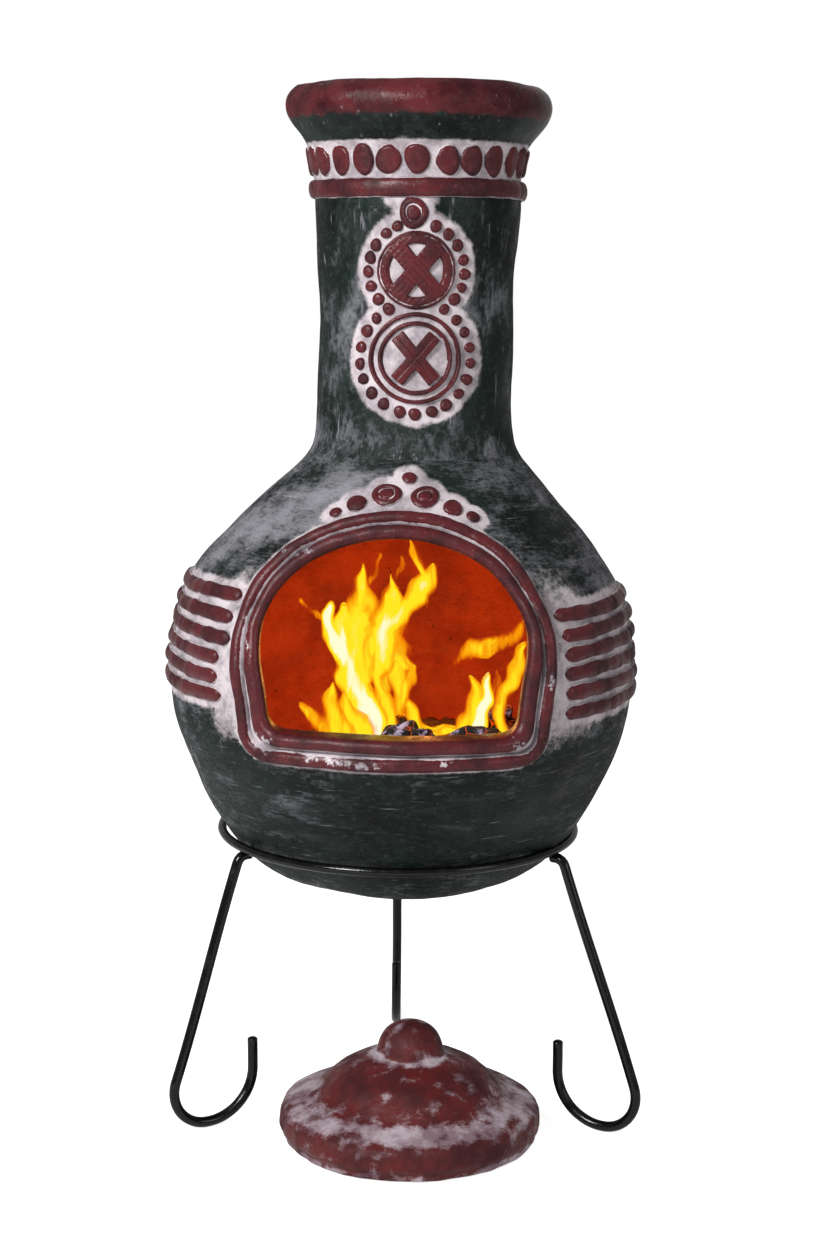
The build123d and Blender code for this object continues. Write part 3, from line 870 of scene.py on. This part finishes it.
def turned(line, around, wobble):
    """Rows of points for a turned shape from its section line, on the lid's axis."""
    turn = circle(around)
    rows = []
    for r, z in line:
        row = np.stack([r * np.cos(turn), r * np.sin(turn), np.full(around, z)], -1)
        out = row * [1, 1, 0] / max(r, 1.0)
        row = row + out * (wobble * (0.9 * hand_wobble(row + 400) + 0.35 * hand_dents(row + 400)))[:, None]
        rows.append(row + [LID_X, LID_Y, 0])
    return rows


def lid_clay():
    """The lid's worn red clay: wear is 1 where it has rubbed back to the white wash."""
    g = Graph("lid clay")
    patch = g.noise(22.0, 6.0, 0.68)
    chips = g.noise(80.0, 7.0, 0.75)
    streak = g.noise(26.0, 7.0, 0.76, g.stretched((1, 1, 4)))
    grain = g.noise(200.0, 3.0, 0.6)
    colour = g.mix(g.mask(patch, 0.36, 0.66), srgb(88, 29, 30), srgb(58, 20, 23))
    worn = g.plus(g.attribute("wear"), streak, 1.3, centre=0.5)
    worn = g.plus(worn, chips, 1.9, centre=0.5)
    white = g.mix(g.mask(patch, 0.38, 0.6), srgb(176, 162, 170), srgb(126, 104, 112))
    colour = g.mix(g.mask(worn, 0.3, 1.0, 0.95), colour, white)
    normal = g.bump(chips, 0.0016, 0.9)
    normal = g.bump(grain, 0.0006, 0.7, normal)
    return g.finish(Base_Color=colour, Roughness=g.mask(patch, 0.1, 0.9, 0.95), Normal=normal,
                    Specular_IOR_Level=0.2)


lid_material = lid_clay()
lid_line = curve_through(LID_SIDE[1:], 110)
inner_line = curve_through([(0.5, 75), (62, 59), (100, 34), (123.5, 0)], 40)
lid_rows = turned(lid_line, LID_AROUND, 1.0)
cap = [shrink(lid_rows[-1], share) for share in (0.7, 0.35)]
under = turned(inner_line[::-1], LID_AROUND, 0.6)
for row in lid_rows[:2] + under[:2]:
    row[:, 2] = np.maximum(row[:, 2], 0.0)
points, faces = lathe(under[::-1] + lid_rows + cap, LID_AROUND)
lid = make_object("lid_clay_dome", points, faces, lid_material, "lid", ["lid"], sharp=60)
z = points[:, 2]
azimuth = np.arctan2(points[:, 0] - LID_X, -(points[:, 1] - LID_Y))
front = np.exp(-((azimuth - 0.15) / 0.75) ** 2)
wear = 0.14 + (0.26 + 0.80 * front) * np.exp(-((z - 43) / 7) ** 2) + 0.9 * np.exp(-((z - 93) / 3.5) ** 2)
flange = plateau(24, 34, 46, 66, z)
wear += 0.5 * np.exp(-((z - 4) / 6) ** 2) + 0.4 * smooth(0.4, 1.1, np.abs(azimuth)) * flange
wear += 0.10 * hand_wobble(points + 900) + 0.12 * hand_dents(points + 900)
set_values(lid.data, {"wear": wear})

knob_line = curve_through(KNOB_SIDE, 30)
points, faces = lathe(turned(knob_line, KNOB_AROUND, 0.5), KNOB_AROUND)
knob = make_object("lid_knob_clay", points, faces, lid_material, "lid", ["lid_knob"])
wear = 0.17 + 0.8 * np.exp(-((points[:, 2] - 92) / 3.5) ** 2) + 0.2 * hand_dents(points + 700)
set_values(knob.data, {"wear": wear})


# ------------ the stand
def rod_metal():
    """Black stove paint on steel rod: satin, with dust and a fine bump."""
    g = Graph("black painted rod")
    dust = g.noise(60.0, 5.0, 0.65)
    colour = g.mix(g.mask(dust, 0.5, 0.8), srgb(5, 5, 7), srgb(20, 19, 25))
    return g.finish(Base_Color=colour, Roughness=g.mask(dust, 0.2, 1.1, 0.62), Metallic=0.0,
                    Specular_IOR_Level=0.3, Normal=g.bump(g.noise(300.0, 4.0, 0.6), 0.0003, 0.6))


black_rod = rod_metal()


def rod(batch, path, radius, closed=False, sections=20):
    """A round rod along a path of points, with domed ends."""
    path = np.asarray(path, float)
    if closed:
        along = np.roll(path, -1, axis=0) - np.roll(path, 1, axis=0)
    else:
        along = np.gradient(path, axis=0)
    along /= np.linalg.norm(along, axis=1)[:, None]
    keep = np.cross(along[0], [0.03, 0.02, 1.0])
    frames = []
    for way in along:
        keep = keep - way * np.dot(keep, way)
        keep /= np.linalg.norm(keep)
        frames.append((keep, np.cross(way, keep)))
    phi = circle(sections)
    rows = np.array([p + radius * (np.cos(phi)[:, None] * a + np.sin(phi)[:, None] * b)
                     for p, (a, b) in zip(path, frames)])
    if not closed:
        tips = []
        for end, step in ((0, -1), (-1, 1)):
            for share in (0.35, 0.75, 0.95):
                centre = path[end] + along[end] * step * radius * share * 0.5
                tips.append(centre + (rows[end] - path[end]) * math.sqrt(1 - share ** 2))
        rows = np.concatenate([np.array(tips[2::-1]), rows, np.array(tips[3:])])
    batch.tube(rows, np.zeros(rows.shape[:2]), closed)


def rounded(corners, radii, step=3.0):
    """Points along straight runs joined by tangent arcs, in a plane."""
    corners = [np.array(c, float) for c in corners]
    line = [corners[0]]
    for before, corner, after, radius in zip(corners, corners[1:], corners[2:], radii):
        a = (before - corner) / np.linalg.norm(before - corner)
        b = (after - corner) / np.linalg.norm(after - corner)
        half = math.acos(np.clip(a @ b, -1, 1)) / 2
        reach = radius / math.tan(half)
        middle = corner + (a + b) / np.linalg.norm(a + b) * radius / math.sin(half)
        start, stop = corner + a * reach - middle, corner + b * reach - middle
        sweep = math.pi - 2 * half
        count = max(4, int(radius * sweep / step))
        ahead = (stop - start * math.cos(sweep)) / math.sin(sweep)
        for i in range(count + 1):
            f = i / count * sweep
            line.append(middle + start * math.cos(f) + ahead * math.sin(f))
    line.append(corners[-1])
    dense = [line[0]]
    for a, b in zip(line, line[1:]):
        count = max(1, int(np.linalg.norm(b - a) / (step * 2)))
        dense += [a + (b - a) * (i + 1) / count for i in range(count)]
    return np.array(dense)


turn = circle(240)
path = np.stack([RING_R * np.sin(turn) + RING_X, -RING_R * np.cos(turn), np.full(len(turn), RING_Z)], -1)
ring = Batch()
rod(ring, path, ROD_R, True)
ring.make("stand_ring_rod", black_rod, "stand", ["stand_ring"])

# each leg: a stub under the ring, out and down to the foot, back in along the ground and up its hook
STUB_Z = RING_Z - ROD_R - LEG_R + 1.0
FOOT_R = 305.5
HOOK_TOP = 91.0
for name, angle, hook, foot_shift, top_shift in (("leg_front_right", 60, 195.0, 4.0, -3.0),
                                                 ("leg_rear", 180, 173.0, -7.5, -9.0),
                                                 ("leg_front_left", -60, 195.0, 4.0, -3.0)):
    leg_line = rounded([(190.5, STUB_Z), (203.0, STUB_Z), (FOOT_R, LEG_R), (hook, LEG_R), (hook, HOOK_TOP)],
                       [12.0, 39.0, 54.0])
    azimuth = math.radians(angle)
    r, z = leg_line.T
    path = np.stack([r * math.sin(azimuth), -r * math.cos(azimuth), z], -1)
    path[:, 0] += foot_shift + (top_shift - foot_shift) * smooth(60, STUB_Z, z)
    leg = Batch()
    rod(leg, path, LEG_R)
    leg.make(f"{name}_rod", black_rod, "stand", [name])


# ------------ the fire
def sand_material():
    g = Graph("sand")
    grain = g.noise(260.0, 4.0, 0.7)
    colour = g.mix(g.mask(grain, 0.35, 0.7), srgb(120, 96, 72), srgb(70, 54, 42))
    return g.finish(Base_Color=colour, Roughness=0.95, Normal=g.bump(grain, 0.001, 0.9))


def char_material():
    g = Graph("charred wood")
    crack = g.add("ShaderNodeTexVoronoi", {"Vector": g.here, "Scale": 55.0},
                  feature="DISTANCE_TO_EDGE").outputs["Distance"]
    ash = g.noise(40.0, 6.0, 0.7)
    colour = g.mix(g.mask(ash, 0.5, 0.62), srgb(20, 13, 14), srgb(176, 164, 196))
    heat = g.mix(g.mask(g.plus(crack, ash, 0.12), 0.05, 0.085), srgb(255, 90, 10), (0, 0, 0, 1))
    return g.finish(Base_Color=colour, Roughness=0.9, Normal=g.bump(g.mask(crack, 0.0, 0.15), 0.002, 0.9),
                    Emission_Color=heat, Emission_Strength=0.8)


sand, char = sand_material(), char_material()
SAND_TOP = 388.0
# name, x, y, angle from +X, radius, length
LOGS = [("log_left", -22.0, -28.0, 112.0, 33.0, 190.0), ("log_right", 88.0, -20.0, 80.0, 31.0, 170.0)]
for name, x, y, angle, radius, length in LOGS:
    way = np.array([math.cos(math.radians(angle)), math.sin(math.radians(angle)), 0])
    side = np.array([-way[1], way[0], 0])
    centre = np.array([x, y, SAND_TOP - 5 + radius * 0.96])
    phi = circle(60)
    rows = []
    for t in np.linspace(-0.5, 0.5, 60):
        middle = centre + way * t * (length - 8)
        row = middle + radius * (np.cos(phi)[:, None] * side + np.sin(phi)[:, None] * [0, 0, 1])
        bumpy = 0.92 + 0.07 * hand_dents(row + 50) + 0.05 * np.abs(np.sin(phi * 5 + 0.4 * math.sin(9 * t)))
        rows.append(middle + (row - middle) * bumpy[:, None])
    batch = Batch()
    batch.tube(rows, np.zeros((60, 60)), False)
    batch.make(f"{name}_charred", char, "pot", [name])

turn = circle(200)
sand_rows = []
for share in np.linspace(1.0, 0.02, 40):
    r = (np.interp(SAND_TOP, hollow.z, hollow.r) + 2) * share
    row = np.stack([r * np.sin(turn) + lean(SAND_TOP), -r * np.cos(turn), np.full(200, SAND_TOP - 1.0)], -1)
    row[:, 2] += 1.6 * hand_dents(row * 1.2) + 2.5 * hand_wobble(row)
    sand_rows.append(row)
low_row = sand_rows[0] * [0.93, 0.93, 1] - [0, 0, 22]
points, faces = lathe([low_row] + sand_rows, 200)
make_object("sand_bed_raked", points, faces, sand, "pot", ["sand_bed"])


def flame_material():
    """Fire as light on thin sheets: heat runs from 0 at a tongue's edge to 1 in its white core."""
    g = Graph("flame")
    lick = g.noise(46.0, 4.0, 0.55, g.stretched((1.0, 1.0, 0.24)), 0.9)
    heat = g.plus(g.attribute("fire_heat"), lick, 1.9, centre=0.53)
    colour = g.mix(g.mask(heat, 0.05, 0.5), srgb(232, 78, 4), srgb(255, 160, 8))
    colour = g.mix(g.mask(heat, 0.4, 0.85), colour, srgb(255, 232, 34))
    colour = g.mix(g.mask(heat, 0.98, 1.4), colour, srgb(255, 255, 214))
    return g.finish(Base_Color=(0, 0, 0, 1), Roughness=1.0, Specular_IOR_Level=0.0, Emission_Color=colour,
                    Emission_Strength=1.0, Alpha=g.mask(heat, -0.02, 0.62))


flame = flame_material()
# Sheets of fire: distance in front of the flue's axis, then each tongue's heat and its x, height, half width
FIRE = [
    ("flame_main", 66, [
        (1.4, [(-28, 426, 14), (-41, 466, 14), (-58, 500, 15), (-71, 522, 14), (-81, 548, 10),
               (-86, 574, 4)]),
        (1.12, [(-50, 426, 16), (-52, 464, 15), (-62, 496, 15), (-66, 521, 15), (-68, 544, 12),
                (-70, 568, 6)]),
        (0.9, [(-44, 496, 14), (-52, 526, 22), (-52, 554, 24), (-49, 580, 15), (-47, 600, 7), (-46, 618, 2)]),
        (0.9, [(-30, 501, 12), (-30, 526, 24), (-20, 552, 25), (-16, 573, 15), (-17, 594, 5), (-14, 606, 1)]),
        (1.0, [(-38, 526, 14), (-22, 548, 18), (-4, 568, 15), (11, 586, 13), (24, 602, 10),
                (31, 612, 6), (31, 618, 2)]),
        (0.72, [(22, 602, 7), (17, 612, 5), (9, 624, 3.5), (2, 634, 2.5), (-1, 642, 1)]),
        (0.95, [(-16, 432, 10), (-18, 452, 10), (-24, 476, 9), (-32, 502, 6)]),
    ]),
    ("flame_stem", 58, [
        (0.8, [(-2, 440, 8), (-8, 472, 12), (-9, 500, 16), (-14, 526, 17), (-17, 548, 12)]),
        (0.86, [(-6, 466, 6), (-1, 482, 10), (6, 493, 9), (13, 504, 2)]),
        (0.82, [(-12, 524, 9), (-3, 512, 10), (6, 506, 7), (14, 502, 2)]),
        (0.8, [(-30, 466, 9), (-26, 492, 13), (-30, 520, 13), (-36, 544, 8)]),
    ]),
    ("flame_low_left", 74, [
        (0.84, [(-72, 424, 20), (-76, 448, 18), (-80, 466, 11), (-81, 484, 3)]),
        (0.66, [(-82, 428, 16), (-92, 442, 14), (-102, 453, 9), (-112, 462, 2.5)]),
        (0.98, [(-46, 426, 18), (-54, 448, 14), (-62, 464, 9), (-66, 478, 3)]),
    ]),
    ("flame_low_middle", 60, [
        (0.84, [(2, 464, 7), (7, 448, 8), (20, 435, 8), (40, 432, 7), (54, 436, 3)]),
    ]),
    ("flame_right", 64, [
        (0.85, [(53, 422, 7), (68, 438, 10), (75, 456, 13), (76, 476, 10), (73, 494, 3)]),
        (1.6, [(82, 430, 10), (84, 454, 11), (86, 474, 9), (90, 497, 2)]),
        (0.4, [(98, 466, 5), (99, 484, 6), (102, 501, 2)]),
    ]),
    ("flame_tall_right", 56, [
        (0.86, [(105, 422, 9), (104, 451, 9), (110, 480, 10), (121, 504, 10), (131, 530, 5)]),
    ]),
    ("flame_flare", 50, [
        (0.44, [(54, 508, 5), (74, 523, 10), (98, 528, 11), (118, 537, 10), (127, 556, 4)]),
        (0.34, [(-40, 594, 6), (-36, 608, 4), (-31, 628, 1.5)]),
        (0.34, [(-17, 588, 7), (-12, 604, 4), (-8, 622, 1.5)]),
        (0.32, [(-114, 571, 2), (-107, 564, 4), (-100, 558, 3.5), (-97, 556, 1.5)]),
    ]),
]
FIRE_CELL = 1.6
FIRE_THICK = 9.0


def fire_sheet(name, ahead, tongues):
    """One sheet of fire: a thin closed lens over its joined tongues, hottest in their middles."""
    samples = np.vstack([np.column_stack([curve_through(line, 60), np.full(60, heat)])
                         for heat, line in tongues])
    spread = samples[:, 2].max() + 6
    xs = np.arange(samples[:, 0].min() - spread, samples[:, 0].max() + spread, FIRE_CELL)
    zs = np.arange(samples[:, 1].min() - 6, samples[:, 1].max() + spread, FIRE_CELL)
    x, z = np.meshgrid(xs, zs)
    bent_x = x + 2.6 * np.sin(z / 10 + ahead) + 1.5 * np.sin(z / 4.7 + x / 8)
    bent_z = z + 2.0 * np.sin(x / 6 + ahead)
    field = np.full(x.shape, -1.0)
    total = np.zeros(x.shape)
    for sx, sz, half, heat in samples:
        lump = heat * (1 - ((bent_x - sx) ** 2 + (bent_z - sz) ** 2) / max(half, 0.8) ** 2)
        field = np.maximum(field, lump)
        total += np.maximum(lump, 0) ** 3 / 60
    field = np.where(field > 0, field + 0.25 * np.minimum(total, 0.8), field)
    used = field > 0
    ring = used.copy()
    for shift_z in (-1, 0, 1):
        for shift_x in (-1, 0, 1):
            ring |= np.roll(np.roll(used, shift_z, 0), shift_x, 1)
    depth = FIRE_THICK * np.sqrt(np.clip(field, 0, 1))
    sway = 8 * np.sin((z - zs[0]) / 42 + ahead) + 4 * np.sin(x / 23)
    front = np.where(ring, np.cumsum(ring.ravel()).reshape(ring.shape) - 1, -1)
    count = int(ring.sum())
    back = np.where(used, count + np.cumsum(used.ravel()).reshape(used.shape) - 1, front)
    points = np.vstack([np.column_stack([x[ring], (sway - ahead - depth)[ring], z[ring]]),
                        np.column_stack([x[used], (sway - ahead + depth)[used], z[used]])])
    faces = []
    for i in range(len(zs) - 1):
        for j in range(len(xs) - 1):
            if used[i:i + 2, j:j + 2].any():
                corners = (i, j), (i, j + 1), (i + 1, j + 1), (i + 1, j)
                near_face = tuple(int(front[c]) for c in corners)
                far_face = tuple(int(back[c]) for c in reversed(corners))
                faces.append(near_face)
                if set(near_face) != set(far_face):
                    faces.append(far_face)
    heat = np.r_[np.clip(field, 0, 2)[ring], np.clip(field, 0, 2)[used]]
    make_object(name, points, faces, flame, "pot", attributes={"fire_heat": heat})


for name, ahead, tongues in FIRE:
    fire_sheet(name, ahead, tongues)


# ------------ the stage
def add_light(name, kind, energy, place):
    data = bpy.data.lights.new(name, kind)
    data.energy = energy
    lamp = bpy.data.objects.new(name, data)
    lamp.location = place
    bpy.context.scene.collection.objects.link(lamp)
    return lamp


def add_softbox(name, energy, place, aim, size):
    """A round studio lamp turned to a point."""
    lamp = add_light(name, "AREA", energy, place)
    lamp.data.shape = "DISK"
    lamp.data.size = size
    lamp.rotation_euler = (Vector(aim) - Vector(place)).to_track_quat("-Z", "Y").to_euler()


def add_firelight(name, energy, place, colour):
    """A warm lamp in the firebox, which is carried with the pot."""
    lamp = add_light(name, "POINT", energy, place)
    lamp.data.color = colour
    lamp.data.shadow_soft_size = 0.05
    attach(lamp, "pot")


def seen_or_lit(tree, seen, lit, kind):
    """A shader node that is one strength to the camera and another to the rest of the scene."""
    path = tree.nodes.new("ShaderNodeLightPath")
    switch = tree.nodes.new("ShaderNodeMapRange")
    switch.inputs["To Min"].default_value = lit
    switch.inputs["To Max"].default_value = seen
    tree.links.new(path.outputs["Is Camera Ray"], switch.inputs["Value"])
    shade = tree.nodes.new(kind)
    tree.links.new(switch.outputs[0], shade.inputs["Strength"])
    return shade


WORLD_LIGHT = 0.30
world = bpy.data.worlds.new("studio")
world.use_nodes = True
sky_tree = world.node_tree
sky_tree.nodes.remove(sky_tree.nodes["Background"])
sky = seen_or_lit(sky_tree, 1.0, WORLD_LIGHT, "ShaderNodeBackground")
sky.inputs["Color"].default_value = (1, 1, 1, 1)
sky_tree.links.new(sky.outputs[0], sky_tree.nodes["World Output"].inputs["Surface"])
bpy.context.scene.world = world
bpy.context.scene.view_settings.view_transform = "Standard"

add_softbox("key", 105, (-1.5, -2.2, 2.0), (0, 0, 0.65), 1.0)
add_softbox("fill", 12, (2.2, -1.8, 1.3), (0, 0, 0.6), 1.2)
add_firelight("fire low", 0.7, (-0.02, 0.07, 0.50), (1.0, 0.42, 0.10))
add_firelight("fire high", 0.35, (0.0, 0.0, 0.58), (1.0, 0.36, 0.08))

FLOOR_REACH = 40
FLOOR_Z = -0.001
corners = [(x * FLOOR_REACH, y * FLOOR_REACH, FLOOR_Z) for x, y in ((-1, -1), (1, -1), (1, 1), (-1, 1))]
floor_mesh = bpy.data.meshes.new("floor")
floor_mesh.from_pydata(corners, [], [(0, 1, 2, 3)])
floor = bpy.data.objects.new("floor", floor_mesh)
g = Graph("pale floor")
g.finish(Base_Color=(0.9, 0.9, 0.9, 1), Roughness=0.9, Specular_IOR_Level=0.0)
even = seen_or_lit(g.tree, 0.8, 0.0, "ShaderNodeEmission")
both = g.add("ShaderNodeAddShader", {0: g.shader.outputs[0], 1: even.outputs[0]}).outputs[0]
g.tree.links.new(both, g.tree.nodes["Material Output"].inputs["Surface"])
floor_mesh.materials.append(g.material)
bpy.context.scene.collection.objects.link(floor)
